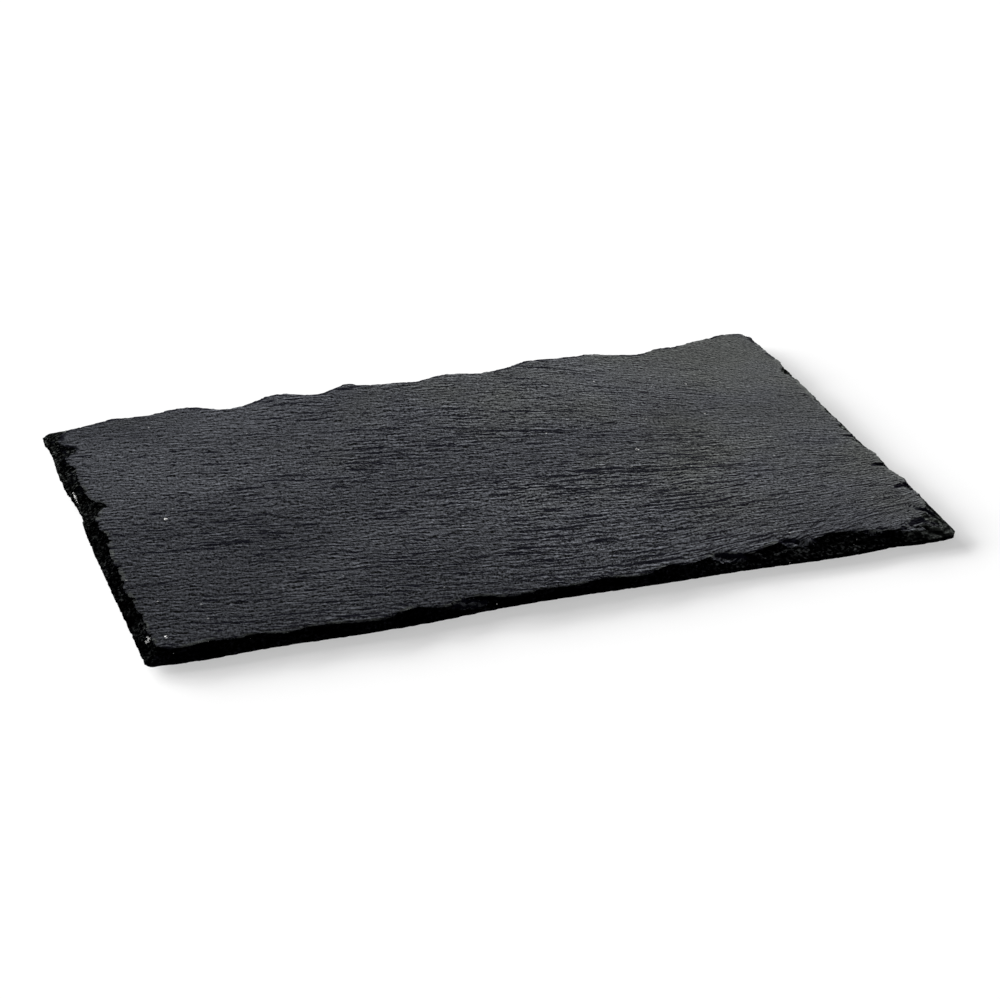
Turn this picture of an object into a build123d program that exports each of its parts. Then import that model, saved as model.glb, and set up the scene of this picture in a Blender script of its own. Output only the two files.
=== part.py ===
"""A riven slate serving board: one hand-dressed slab standing on four peel-and-stick feet.

Millimetres. X runs along the slab, Y from its front to its back, Z up.
The origin is on the table, under the middle of the slab.
"""

import os

from build123d import *

# Slab: overall size across the lip of its dressed edge
SLAB_LENGTH = 265.0
SLAB_WIDTH = 164.0
SLAB_THICKNESS = 4.5

# Dressed edge: a bevel from the serving face down to a lip, and a spalled arris below the lip
LIP_HEIGHT = 1.5
ARRIS_SETBACK = 0.3
CORNER_BULGE = 0.9

# Feet: moulded rubber discs, each stuck on with a thin adhesive film
FOOT_DIAMETER = 12.0
FOOT_HEIGHT = 2.0
FOOT_EDGE_RADIUS = 0.4
FILM_THICKNESS = 0.2
FILM_MARGIN = 0.5
FOOT_SETBACK_FROM_ENDS = 24.0
FOOT_SETBACK_FROM_SIDES = 22.0

# Each side is walked anticlockwise, seen from above: front, right, back, left.
# A point is (share of the side walked, millimetres in from the slab's overall size).
# Every low stretch is the scallop that one blow of the dressing hammer left.
SERVING_FACE_EDGE = {
    "front": [
        (0.030, 3.3), (0.060, 3.8), (0.077, 4.5), (0.110, 3.1), (0.130, 4.3), (0.157, 1.8), (0.183, 3.1),
        (0.235, 1.8), (0.290, 1.8), (0.315, 4.4), (0.345, 2.1), (0.387, 5.5), (0.420, 2.3), (0.480, 2.8),
        (0.510, 2.1), (0.540, 3.5), (0.600, 2.1), (0.632, 5.3), (0.650, 3.8), (0.695, 7.3), (0.725, 4.8),
        (0.755, 6.4), (0.787, 9.3), (0.813, 7.3), (0.840, 8.8), (0.885, 6.9), (0.922, 4.8), (0.950, 8.3),
    ],
    "right": [
        (0.080, 6.0), (0.105, 4.0), (0.125, 3.0), (0.165, 2.2), (0.190, 3.8), (0.215, 1.8), (0.240, 2.3),
        (0.288, 3.4), (0.330, 2.5), (0.385, 3.6), (0.416, 4.4), (0.447, 3.1), (0.477, 4.0), (0.508, 3.0),
        (0.544, 4.0), (0.587, 3.0), (0.666, 2.9), (0.746, 3.3), (0.770, 4.4), (0.794, 2.8), (0.855, 2.6),
        (0.910, 3.1), (0.965, 3.3),
    ],
    "back": [
        (0.025, 1.9), (0.047, 1.0), (0.074, 2.5), (0.100, 4.0), (0.126, 5.6), (0.149, 5.4), (0.187, 7.7),
        (0.217, 5.0), (0.247, 2.4), (0.296, 2.1), (0.338, 1.1), (0.364, 3.9), (0.398, 5.7), (0.425, 4.7),
        (0.458, 2.8), (0.489, 5.1), (0.534, 4.1), (0.568, 2.2), (0.587, 0.0), (0.609, 2.4), (0.643, 4.9),
        (0.666, 1.7), (0.700, 1.5), (0.726, 5.2), (0.764, 6.6), (0.794, 2.7), (0.821, 1.6), (0.866, 3.7),
        (0.900, 2.7), (0.934, 4.7), (0.968, 6.8),
    ],
    "left": [
        (0.077, 5.0), (0.120, 6.0), (0.138, 8.0), (0.163, 4.2), (0.218, 4.0), (0.273, 4.3), (0.340, 4.8),
        (0.376, 6.5), (0.395, 9.3), (0.419, 6.5), (0.456, 4.0), (0.474, 3.2), (0.510, 4.5), (0.559, 4.4),
        (0.620, 3.5), (0.663, 4.0), (0.718, 3.0), (0.779, 3.5), (0.840, 4.0), (0.895, 3.5), (0.949, 4.3),
    ],
}
LIP_EDGE = {
    "front": [
        (0.015, 1.8), (0.080, 1.0), (0.140, 1.6), (0.200, 1.2), (0.350, 1.4), (0.410, 2.6), (0.500, 2.8),
        (0.610, 1.8), (0.730, 1.4), (0.890, 0.5), (0.912, 0.9), (0.935, 0.3), (0.960, 0.0), (0.985, 0.3),
    ],
    "right": [
        (0.020, 0.5), (0.200, 0.2), (0.450, 0.8), (0.520, 0.6), (0.700, 0.1), (0.860, 0.1), (0.980, 0.6),
    ],
    "back": [
        (0.015, 0.7), (0.120, 1.5), (0.200, 1.9), (0.330, 0.5), (0.420, 1.5), (0.587, 0.0), (0.670, 0.6),
        (0.760, 1.6), (0.880, 0.7), (0.980, 1.5),
    ],
    "left": [
        (0.030, 0.3), (0.070, 0.4), (0.102, 0.9), (0.150, 0.3), (0.230, 0.0), (0.300, 0.4), (0.335, 1.0),
        (0.395, 1.3), (0.430, 0.7), (0.480, 0.3), (0.620, 0.1), (0.850, 0.3), (0.975, 0.2),
    ],
}

# Heights above the table
underside = FOOT_HEIGHT + FILM_THICKNESS
lip = underside + LIP_HEIGHT
serving_face = underside + SLAB_THICKNESS

# The slab's overall corners, anticlockwise from the front left
corners = [
    Vector(-SLAB_LENGTH / 2, -SLAB_WIDTH / 2),
    Vector(SLAB_LENGTH / 2, -SLAB_WIDTH / 2),
    Vector(SLAB_LENGTH / 2, SLAB_WIDTH / 2),
    Vector(-SLAB_LENGTH / 2, SLAB_WIDTH / 2),
]


def side_points(start, end, stations, setback):
    """Points along one side, each moved in from the straight line between its corners."""
    along = end - start
    inward = along.normalized().rotate(Axis.Z, 90)
    return [start + along * share + inward * (inset + setback) for share, inset in stations]


def level(height, edge, setback=0.0):
    """One level of the slab, at that height: a curve along each side and a rounded corner after it."""
    sides = [
        side_points(corners[i], corners[(i + 1) % 4], stations, setback)
        for i, stations in enumerate(edge.values())
    ]
    with BuildSketch(Plane.XY.offset(height)) as outline:
        with BuildLine():
            for side, next_side in zip(sides, sides[1:] + sides[:1]):
                Spline(*side)
                SagittaArc(side[-1], next_side[0], -CORNER_BULGE)
        make_face()
    return outline.sketch


os.makedirs("parts", exist_ok=True)

# Slab: three levels joined by ruled faces, which are the spalled arris and the dressed bevel
slab_levels = [
    level(underside, LIP_EDGE, ARRIS_SETBACK),
    level(lip, LIP_EDGE),
    level(serving_face, SERVING_FACE_EDGE),
]
with BuildPart() as slate_slab:
    loft(slab_levels, ruled=True)

slate_slab.part.label = "slate_slab"
export_step(slate_slab.part, "parts/slate_slab.step")

# Feet and their adhesive films, one pair near each corner
foot_x = SLAB_LENGTH / 2 - FOOT_SETBACK_FROM_ENDS
foot_y = SLAB_WIDTH / 2 - FOOT_SETBACK_FROM_SIDES
foot_places = {
    "front_left": (-foot_x, -foot_y),
    "front_right": (foot_x, -foot_y),
    "back_right": (foot_x, foot_y),
    "back_left": (-foot_x, foot_y),
}

for place, (x, y) in foot_places.items():
    with BuildPart() as foot:
        with BuildSketch(Plane((x, y, 0))):
            Circle(FOOT_DIAMETER / 2)
        extrude(amount=FOOT_HEIGHT)
        fillet(foot.edges().group_by(Axis.Z)[0], FOOT_EDGE_RADIUS)
    foot.part.label = f"foot_{place}"
    export_step(foot.part, f"parts/foot_{place}.step")

    with BuildPart() as film:
        with BuildSketch(Plane((x, y, FOOT_HEIGHT))):
            Circle(FOOT_DIAMETER / 2 - FILM_MARGIN)
        extrude(amount=FILM_THICKNESS)
    film.part.label = f"adhesive_film_{place}"
    export_step(film.part, f"parts/adhesive_film_{place}.step")
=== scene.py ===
"""Looks of a riven slate serving board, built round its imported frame.

Metres, in the frame's own axes: X along the slab, Y from its front to its back, Z up, the table at zero.
"""

import math
from functools import reduce

import bpy
import numpy as np
from bpy.props import FloatProperty, FloatVectorProperty, IntProperty, PointerProperty
from bpy.types import Operator, Panel, PropertyGroup
from mathutils import Matrix, Vector


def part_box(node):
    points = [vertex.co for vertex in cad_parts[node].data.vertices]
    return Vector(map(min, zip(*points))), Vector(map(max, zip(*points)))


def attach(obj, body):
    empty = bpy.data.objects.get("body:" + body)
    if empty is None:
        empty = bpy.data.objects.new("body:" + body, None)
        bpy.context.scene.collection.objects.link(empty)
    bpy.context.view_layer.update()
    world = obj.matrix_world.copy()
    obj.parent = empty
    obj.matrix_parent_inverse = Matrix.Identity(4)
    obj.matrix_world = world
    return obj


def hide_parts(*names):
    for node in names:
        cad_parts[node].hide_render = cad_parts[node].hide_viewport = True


bl_info = {
    "name": "Slate Serving Board",
    "version": (1, 0, 0),
    "blender": (4, 5, 0),
    "location": "View3D > Sidebar > Slate Board",
    "description": "A riven slate slab with dressed edges on rubber feet, with its studio stage",
    "category": "Add Mesh",
}

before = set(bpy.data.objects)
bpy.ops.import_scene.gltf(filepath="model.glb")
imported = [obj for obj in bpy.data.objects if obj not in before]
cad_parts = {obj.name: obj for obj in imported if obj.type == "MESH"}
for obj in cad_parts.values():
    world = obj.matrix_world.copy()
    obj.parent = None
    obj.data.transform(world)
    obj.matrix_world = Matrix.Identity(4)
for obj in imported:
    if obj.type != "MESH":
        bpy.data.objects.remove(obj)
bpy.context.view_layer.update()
SLAB_LOW, SLAB_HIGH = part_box("slate_slab")
FOOT_NODES = sorted(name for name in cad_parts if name.startswith("foot_"))
FILM_NODES = sorted(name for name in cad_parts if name.startswith("adhesive_film_"))
BODY = "root"

MM = 0.001

# Maps and values that the slab's mesh carries
RIVEN_MAP = "riven"
BAKE_MAP = "OFBake"
EDGE_GREY = "edge_grey"
SERVING_ARRIS = "on_serving_arris"
SCOOP_SHADE = "scoop_wall_shade"

# Grid of the slab. The dressed edge has EDGE_STEP points for each step of the serving face, and the underside has
# one step for every UNDERSIDE_STEP of it.
COLUMNS = 198
ROWS = 291
EDGE_STEP = 2
UNDERSIDE_STEP = 3
BEVEL_RINGS = 10
ARRIS_RINGS = 4
FACE_RIM = 2.2 * MM
UNDERSIDE_RIM = 1.2 * MM
LEVEL_TOLERANCE = 0.002 * MM
SIDE_STEPS = np.array([COLUMNS, ROWS, COLUMNS, ROWS]) * EDGE_STEP

# Where each island of the bake map starts on its square sheet: the four sides of the edge, then the whole faces
BAKE_SHEET = 276 * MM
BAKE_STRIP_LEFT = np.array([5, 142, 5, 142]) * MM
BAKE_STRIP_LOW = np.array([170, 192, 180, 204]) * MM
BAKE_STRIP_LENGTH = np.array([265, 128, 265, 128]) * MM
BAKE_STRIP_HEIGHT = 8 * MM
BAKE_FACE_START = np.array([5, 3]) * MM
BAKE_UNDERSIDE_START = np.array([5, 190]) * MM

# The noises are drawn on so many unit squares each way
SQUARES = 256

# Waves of the split face: length and spacing as shares of the ripples' own, and strength
WAVES = ((3.0, 2.6, 0.15), (1.0, 1.0, 0.5), (0.55, 0.52, 0.45))
WAVE_LEAN = 0.35
BROKEN_STEPS = 2.5
BROKEN_STRENGTH = 0.28
SWELL_STRENGTH = 0.4

# Scoops that the dressing hammer broke out of the serving face: middle x and y, length, width and depth in
# millimetres, and turn in degrees
SCOOPS = (
    (-32.5, -77.9, 13.0, 2.6, 0.4, -4),
    (53.6, -75.6, 13.5, 3.6, 0.9, -17),
    (78.8, -73.9, 13.0, 3.4, 1.0, -9),
    (106.0, -75.2, 9.0, 2.4, 0.6, -4),
    (119.4, -74.6, 13.0, 4.2, 1.2, 24),
    (125.9, -74.5, 5.0, 1.8, 0.5, -36),
    (126.8, -68.0, 7.0, 3.2, 0.9, -35),
    (123.4, -64.0, 4.5, 1.8, 0.5, -42),
    (128.4, -49.6, 8.0, 3.4, 1.1, 12),
    (127.8, -33.6, 7.0, 2.6, 0.9, -8),
    (128.6, -11.2, 7.0, 2.8, 0.8, -30),
)
SCOOP_WALL = 0.5
SCOOP_CRESCENT = 0.8

# Bites out of the serving edge and out of the lip: shares at the front, right, back and left, then widths in chip
# sizes with a strength each
BITES = (1.0, 0.9, 0.5, 1.2)
LIP_BITES = (0.3, 0.5, 0.3, 0.4)
BITE_SIZES = ((2.6, 1.3), (1.2, 1.3), (0.5, 1.0))
DEEPEST_BITE = 1.9 * MM
ARRIS_DROP = 0.15
FRONT_LIP = 0.35

# Small chips of the dressed edge: share of the chip size, strength, and how far their planes are raised
CHIPS = ((1.0, 0.9, 0.3), (0.5, 0.5, 0.1))
CHIP_ROWS = 3.0
DEEPEST_CHIP = 1.3
ARRIS_CHIPS = 0.35

# Noises that shift the bevel's broken layers: spacing in millimetres, strength and rows
LAYER_SHIFTS = ((9, 0.9, 0.0), (3, 0.4, 3.0))
LAYER_RAMP = 0.5
LAYER_RUN = 0.6

# Pale flecks that chips left: middle x and y, and half sizes along x and y, in millimetres
FLECKS = (
    (-130.5, 29.8, 0.3, 3.6),
    (-107.0, 1.6, 0.5, 0.7),
    (-128.9, -69.5, 0.6, 1.4),
    (-123.9, -71.1, 0.5, 0.8),
    (54.8, 2.1, 0.6, 0.7),
)
FLECK_LEVEL = (SLAB_LOW.z + SLAB_HIGH.z) / 2 - 1 * MM

# Finish of the split face along its grain, with lengths and widths in millimetres: how far it wavers, fine ledges and
# crumbs with a strength each, and steep ledges with the drop each at which a ledge gets painted shade at its front and
# a painted highlight at its back
WAVERS = ((9.0, 7.0, 2.0), (1.3, 1.1, 1.0))
LEDGES = ((5.5, 1.2, 1.65), (2.2, 1.1, 2.2))
CRUMBS = ((0.9, 1.5, 1.9), (0.55, 0.8, 2.5))
STEEP_LEDGES = ((26.0, 1.75, 0.25), (12.0, 1.6, 0.25), (5.0, 1.3, 0.25))
STEEP_LEDGE_CRUMBS = (1.2, 0.8, 0.2)

# Features of the finishes' noises for each metre, or for each metre of each axis
CLOUDS = (9.0, 16.0, 16.0)
GREEN_CLOUDS = 21.0
BROKEN_PATCHES = (24.0, 34.0, 34.0)
ARRIS_PATCHES = 150.0
STONE_GRIT = 800.0
EDGE_LUMPS = 1000.0
EDGE_CLUSTERS = 160.0
EDGE_LAYERS = (170.0, 170.0, 1600.0)
EDGE_LINES = (180.0, 180.0, 3000.0)
SHADED_FACET_PATCHES = 130.0
SPECK_OUTLINE = 2200.0
FLECK_OUTLINE = 1800.0
RUBBER_DUST = 700.0
FILM_VOIDS = 400.0

# Pale specks: cells for each metre, and the share of them that hold one
FACE_SPECKS = (330.0, 0.05)
EDGE_SPECKS = (560.0, 0.06)

# Moulded foot: segments, steps and rings, then dish and draft as shares of its radius or height, and edge radii
FOOT_SEGMENTS = 64
DISH_STEPS = 12
FOOT_EDGE_STEPS = 6
FOOT_TOP_RINGS = np.array([0.7, 0.35])
SOLE_DISH = 0.62
DISH_DEPTH = 0.14
FOOT_DRAFT = 0.02
FOOT_EDGE = 0.4 * MM
FOOT_TOP_EDGE = 0.15 * MM

# The floor's lights fan out by these turns from their middle one, in degrees. Soft boxes light the slab alone: place,
# aim, width and height in metres.
FLOOR_LIGHT_TURNS = (-26, 0, 26)
KEY_BOX = ((0.60, 0.57, 0.43), (0, 0, 0), 0.55, 0.42)
FILL_BOX = ((-0.42, 0.18, 0.22), (-0.1, 0, 0), 0.3, 0.2)

# Camera of the photograph: a 36 mm sensor behind a 98 mm lens
SENSOR_WIDTH = 36.0
LENS = 97.79
CAMERA_AZIMUTH = -19.70
CAMERA_ELEVATION = 27.31
CAMERA_ROLL = 0.78
CAMERA_DISTANCE = 893.2 * MM
CAMERA_AIM = Vector((2.98 * MM, -6.64 * MM, 0.0))


def tone(name, description, *colour):
    """A colour that a user may change."""
    return FloatVectorProperty(name=name, description=description, subtype="COLOR", default=colour)


def measure(name, description, millimetres):
    """A length that a user may change."""
    return FloatProperty(name=name, description=description, unit="LENGTH", default=millimetres * MM)


def bearing(name, description, degrees):
    """An angle that a user may change."""
    return FloatProperty(name=name, description=description, subtype="ANGLE", default=math.radians(degrees))


class SlabProperties(PropertyGroup):
    seed: IntProperty(
        name="Seed", description="Which split surface and which hammer marks the slab gets", default=7, min=0
    )
    ripple_spacing: measure("Ripple spacing", "From one riven ripple to the next", 2.6)
    ripple_length: measure("Ripple length", "How far a ripple runs before it breaks", 15.0)
    ripple_depth: measure("Ripple depth", "From the highest to the lowest point of the serving face", 0.42)
    grain_turn: bearing("Grain turn", "How far the ripples turn from the slab's length towards its front", 10.9)
    fan_start: measure("Fan start", "Where along the slab the ripples begin to draw together", -8.0)
    fan_strength: FloatProperty(
        name="Fan strength", description="How fast the ripples draw together past the fan's start", default=69.0
    )
    chip_size: measure("Chip size", "Width of the small chips along the dressed edge", 2.2)
    chip_depth: measure("Chip depth", "How deep the small chips go", 0.55)
    lamina: measure("Lamina", "Thickness of the layers that break off in steps along the dressed edge", 0.8)
    dark_tone: tone("Dark tone", "Slate where it is darkest", 0.0298, 0.0312, 0.0358)
    pale_tone: tone("Pale tone", "Slate where it is palest", 0.0603, 0.063, 0.0704)
    green_cast: tone("Green cast", "What the slate's colour is multiplied by where it is greenest", 1.0, 1.0, 0.87)
    # Grey end of the edge's colour: partly slate broken along its layers, partly painted light
    green_tone: tone("Green tone", "Edge where it broke along the layers", 0.046, 0.050, 0.046)
    # Painted highlight on the serving face's arris towards the front
    arris_highlight_tone: tone("Arris highlight tone", "Painted highlight on the arris round the serving face", 0.10, 0.107, 0.10)
    # Colour of painted shade on the face and the edge
    painted_shade_tone: tone("Shade tone", "Painted shade at the arris, in scoops, ledge fronts and upper edge facets", 0.003, 0.003, 0.006)
    edge_tone: tone("Edge tone", "Broken slate of the dressed edge", 0.0014, 0.0014, 0.0019)
    speck_tone: tone("Speck tone", "Mineral specks and chip flecks", 0.85, 0.85, 0.83)


class FeetProperties(PropertyGroup):
    rubber_tone: tone("Rubber", "Moulded rubber of the feet", 0.018, 0.018, 0.019)
    dust_tone: tone("Dust", "Dust on the rubber", 0.060, 0.059, 0.057)
    film_tone: tone("Adhesive", "Adhesive film that holds each foot", 0.62, 0.59, 0.50)
    void_tone: tone("Voids", "Where the film has not wetted the stone", 0.42, 0.40, 0.35)


class StageProperties(PropertyGroup):
    floor_tone: tone("Floor", "Pale floor", 0.90, 0.90, 0.90)
    floor_size: measure("Floor size", "Side of the floor", 8000.0)
    floor_glow: FloatProperty(
        name="Floor glow", description="Share of the floor's white that shadows don't reach", default=0.48,
        subtype="FACTOR", min=0.0, max=1.0,
    )
    sky: FloatProperty(name="Sky", description="Strength of the even light from all round", default=0.15)
    key_power: FloatProperty(
        name="Key power", description="Soft box behind the slab's right end", default=16.3, unit="POWER"
    )
    fill_power: FloatProperty(
        name="Fill power", description="Weak soft box beside the slab's left end", default=1.3, unit="POWER"
    )
    floor_light_strength: FloatProperty(
        name="Floor light", description="Broad light on the floor, which casts the slab's shadow", default=10.8
    )
    floor_light_azimuth: bearing("Floor light azimuth", "Direction of the floor light, from +Y towards +X", -45.0)
    floor_light_elevation: bearing("Floor light elevation", "Height of the floor light", 17.5)
    floor_light_spread: bearing("Floor light spread", "How wide the floor light looks", 27.0)


def held(value):
    """Values held between 0 and 1."""
    return np.clip(value, 0.0, 1.0)


def rising(value, low, high):
    """From 0 at a low value to 1 at a high one, held at both ends."""
    return held((value - low) / (high - low))


def faded(t):
    """Quintic step from 0 to 1, level at both ends."""
    return t * t * t * (t * (t * 6.0 - 15.0) + 10.0)


def stepped(value, ramp):
    """A staircase: whole numbers joined by short ramps, each over a share `ramp` of a step."""
    whole = np.floor(value)
    return whole + faded(held((value - whole - 1.0 + ramp) / ramp))


def noise(x, y, seed, period=SQUARES):
    """Gradient noise from about -1 to 1: a random slope at each whole-number point, blended by quintic steps.

    It repeats after `period` along x, so that it can run round a closed edge.
    """
    slopes = np.random.default_rng(seed).uniform(0.0, 2.0 * math.pi, (SQUARES, SQUARES))
    column, row = np.floor(x).astype(int), np.floor(y).astype(int)
    fx, fy = x - column, y - row

    def corner(i, j):
        slope = slopes[(column + i) % period % SQUARES, (row + j) % SQUARES]
        return np.cos(slope) * (fx - i) + np.sin(slope) * (fy - j)

    near = corner(0, 0) + (corner(1, 0) - corner(0, 0)) * faded(fx)
    far = corner(0, 1) + (corner(1, 1) - corner(0, 1)) * faded(fx)
    return 1.5 * (near + (far - near) * faded(fy))


def facets(x, y, seed, period=SQUARES):
    """Broken planes from about -1 to 1: at each place the plane of the nearest of a set of scattered points, one in
    each unit square, each with a height and two tilts of its own. It repeats after `period` along x."""
    random = np.random.default_rng(seed).uniform(-1.0, 1.0, (5, SQUARES, SQUARES))
    x, y = np.broadcast_arrays(x, y)
    column, row = np.floor(x).astype(int), np.floor(y).astype(int)
    nearest, value = np.full(x.shape, np.inf), np.zeros(x.shape)
    for i in (-1, 0, 1):
        for j in (-1, 0, 1):
            own = random[:, (column + i) % period % SQUARES, (row + j) % SQUARES]
            shift_x, shift_y, height, tilt_x, tilt_y = own
            dx = x - column - i - 0.5 - 0.45 * shift_x
            dy = y - row - j - 0.5 - 0.45 * shift_y
            away = dx * dx + dy * dy
            value = np.where(away < nearest, height + tilt_x * dx + tilt_y * dy, value)
            nearest = np.minimum(nearest, away)
    return value


def node_points(name):
    """All points of a CAD node's mesh, as rows of x, y and z."""
    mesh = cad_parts[name].data
    points = np.empty(len(mesh.vertices) * 3)
    mesh.vertices.foreach_get("co", points)
    return points.reshape(-1, 3)


def cad_outline(height):
    """The slab's outline at one CAD level, anticlockwise from its front-left corner.

    Its points are sorted by the angle at which they stand round the middle. A corner is the point that lies
    furthest along its diagonal. Each side is resampled at even shares of the straight line between its corners.
    """
    points = node_points("slate_slab")
    ring = points[np.abs(points[:, 2] - height) < LEVEL_TOLERANCE, :2]
    ring = np.unique(np.round(ring, 7), axis=0)
    ring = ring[np.argsort(np.arctan2(ring[:, 1], ring[:, 0]))]
    reach = ring / np.array([SLAB_HIGH.x, SLAB_HIGH.y])
    diagonals = np.array([(-1, -1), (1, -1), (1, 1), (-1, 1)])
    corners = np.argmax(reach @ diagonals.T, axis=0)
    ring = np.roll(ring, -corners[0], axis=0)
    ends = [*((corners - corners[0]) % len(ring)), len(ring)]
    ring = np.concatenate([ring, ring[:1]])
    sides = []
    for first, last, steps in zip(ends, ends[1:], SIDE_STEPS):
        side = ring[first : last + 1]
        chord = side[-1] - side[0]
        share = np.maximum.accumulate((side - side[0]) @ chord / (chord @ chord))
        at = np.arange(steps) / steps
        sides.append(np.stack([np.interp(at, share, side[:, axis]) for axis in (0, 1)], axis=1))
    return np.concatenate(sides)


def inward(ring):
    """Unit vectors that point into a ring walked anticlockwise, square to its local direction."""
    along = np.roll(ring, -1, axis=0) - np.roll(ring, 1, axis=0)
    turned = np.stack([-along[:, 1], along[:, 0]], axis=1)
    return turned / np.linalg.norm(turned, axis=1, keepdims=True)


def walked(ring):
    """Share of the way round a ring at each of its points, and the whole way."""
    steps = np.cumsum(np.linalg.norm(np.roll(ring, -1, axis=0) - ring, axis=1))
    return np.concatenate([[0.0], steps[:-1]]) / steps[-1], steps[-1]


def patch(ring, columns, rows):
    """A flat grid inside a ring: its two pairs of opposite sides joined by straight lines and added, less the
    grid that its four corners alone would give (a Coons patch)."""
    closed = np.concatenate([ring, ring[:1]])
    front = closed[: columns + 1]
    right = closed[columns : columns + rows + 1]
    back = closed[columns + rows : 2 * columns + rows + 1][::-1]
    left = closed[2 * columns + rows :][::-1]
    u = np.linspace(0.0, 1.0, columns + 1)[None, :, None]
    v = np.linspace(0.0, 1.0, rows + 1)[:, None, None]
    between_front_and_back = (1 - v) * front[None] + v * back[None]
    between_ends = (1 - u) * left[:, None] + u * right[:, None]
    of_corners = (1 - v) * ((1 - u) * front[0] + u * front[-1]) + v * ((1 - u) * back[0] + u * back[-1])
    return (between_front_and_back + between_ends - of_corners).reshape(-1, 2)


def grid_index(columns, rows):
    """Indices of a grid's points, row by row."""
    return np.arange((rows + 1) * (columns + 1)).reshape(rows + 1, columns + 1)


def rim(index):
    """Indices of a grid's outer points, anticlockwise from its first."""
    return np.concatenate([index[0, :-1], index[:-1, -1], index[-1, :0:-1], index[:0:-1, 0]])


def grid_quads(index):
    """The quads of a grid of points, anticlockwise seen from above."""
    return np.stack([index[:-1, :-1], index[:-1, 1:], index[1:, 1:], index[1:, :-1]], axis=-1).reshape(-1, 4)


def joining_strip(inner, outer):
    """Faces between an inner ring and an outer one with a whole number of points for each inner step, anticlockwise
    seen from above."""
    step = len(outer) // len(inner)
    start = np.arange(len(inner)) * step
    outside = [outer[(start + k) % len(outer)] for k in range(step + 1)]
    return np.stack([*outside, np.roll(inner, -1), inner], axis=-1)


def riven_coordinates(x, y, look):
    """Along and across the grain of the split face, in metres.

    Across is y + x tan(turn), times exp(k (x - fan start)^2 / 2) past the fan's start, so that lines of equal across
    draw together towards the right end. Both waver by slow noise.
    """
    slope = math.tan(look.grain_turn)
    past = np.clip(x - look.fan_start, 0.0, None)
    across = (y + slope * x) * np.exp(look.fan_strength * past**2 / 2.0)
    slow = noise(x / (55 * MM), y / (38 * MM), look.seed + 1)
    quick = noise(x / (21 * MM), y / (13 * MM), look.seed + 2)
    return x - slope * y + 5 * MM * slow, across + 1.2 * MM * slow + 0.5 * MM * quick


def ripples(along, across, look):
    """Broken waves that run along the grain: noises in three sizes, each about seven times as long as wide, added by
    their strengths."""
    return sum(
        strength * noise(along / (long * look.ripple_length), across / (wide * look.ripple_spacing), look.seed + seed)
        for seed, (long, wide, strength) in enumerate(WAVES, 3)
    )


def riven_depth(along, across, look):
    """Depth of the split face below its highest point, from 0 to the ripple depth.

    The waves lean towards the front: each is looked up a little further back where it is high, which makes its
    front steep. Thin layers that broke off are added as a staircase in a slow noise, and so is that noise.
    """
    lean = WAVE_LEAN * look.ripple_spacing
    waves = ripples(along, across + lean * ripples(along, across, look), look)
    swell = noise(along / (62 * MM), across / (19 * MM), look.seed + 6)
    broken = swell + 0.35 * noise(along / (17 * MM), across / (4.5 * MM), look.seed + 7)
    layers = stepped(BROKEN_STEPS * broken, 0.35) / BROKEN_STEPS
    relief = waves + BROKEN_STRENGTH * layers + SWELL_STRENGTH * swell
    return look.ripple_depth * (relief.max() - relief) / np.ptp(relief)


def scoops(flat):
    """How deep the scoops along the edge go at each place, and how far it is on the back wall and on the floor of one,
    from 0 to 1.

    A scoop is round along its length, with a steep back wall and a floor that rises evenly to the front. Its back wall
    is the crescent between its outline and the same outline moved to the front.
    """
    depth, walls, floors = np.zeros((3, len(flat)))
    for x, y, length, width, deepest, turn in SCOOPS:
        apart = (flat - np.array([x, y]) * MM) / MM
        cos, sin = math.cos(math.radians(turn)), math.sin(math.radians(turn))
        u = (apart[:, 0] * cos + apart[:, 1] * sin) / (length / 2)
        v = (apart[:, 1] * cos - apart[:, 0] * sin) / (width / 2)
        back, front = held((1.0 - v) / SCOOP_WALL), held((1.0 + v) / (2.0 - SCOOP_WALL))
        depth = np.maximum(depth, deepest * MM * (held(1.0 - u * u) * np.minimum(back, front)))
        inside, ahead = 1.0 - u * u - v * v, 1.0 - u * u - (v + SCOOP_CRESCENT) ** 2
        walls = np.maximum(walls, held(0.5 + np.minimum(inside, -ahead)))
        floors = np.maximum(floors, held(0.5 + np.minimum(inside, ahead)))
    return depth, walls, floors


def edge_bites(ring, shares, seed, look):
    """How far small chips bite into a ring: broken planes of three sizes along its walk, the low ones clipped, times
    each side's share."""
    at, around = walked(ring)
    bites = np.zeros(len(ring))
    for size, strength in BITE_SIZES:
        cells = round(around / (size * look.chip_size))
        bites += strength * held(facets(at * cells, 0.5, look.seed + seed, cells) - 0.1)
    return np.minimum(look.chip_depth * np.repeat(shares, SIDE_STEPS) * bites, DEEPEST_BITE)


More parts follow.
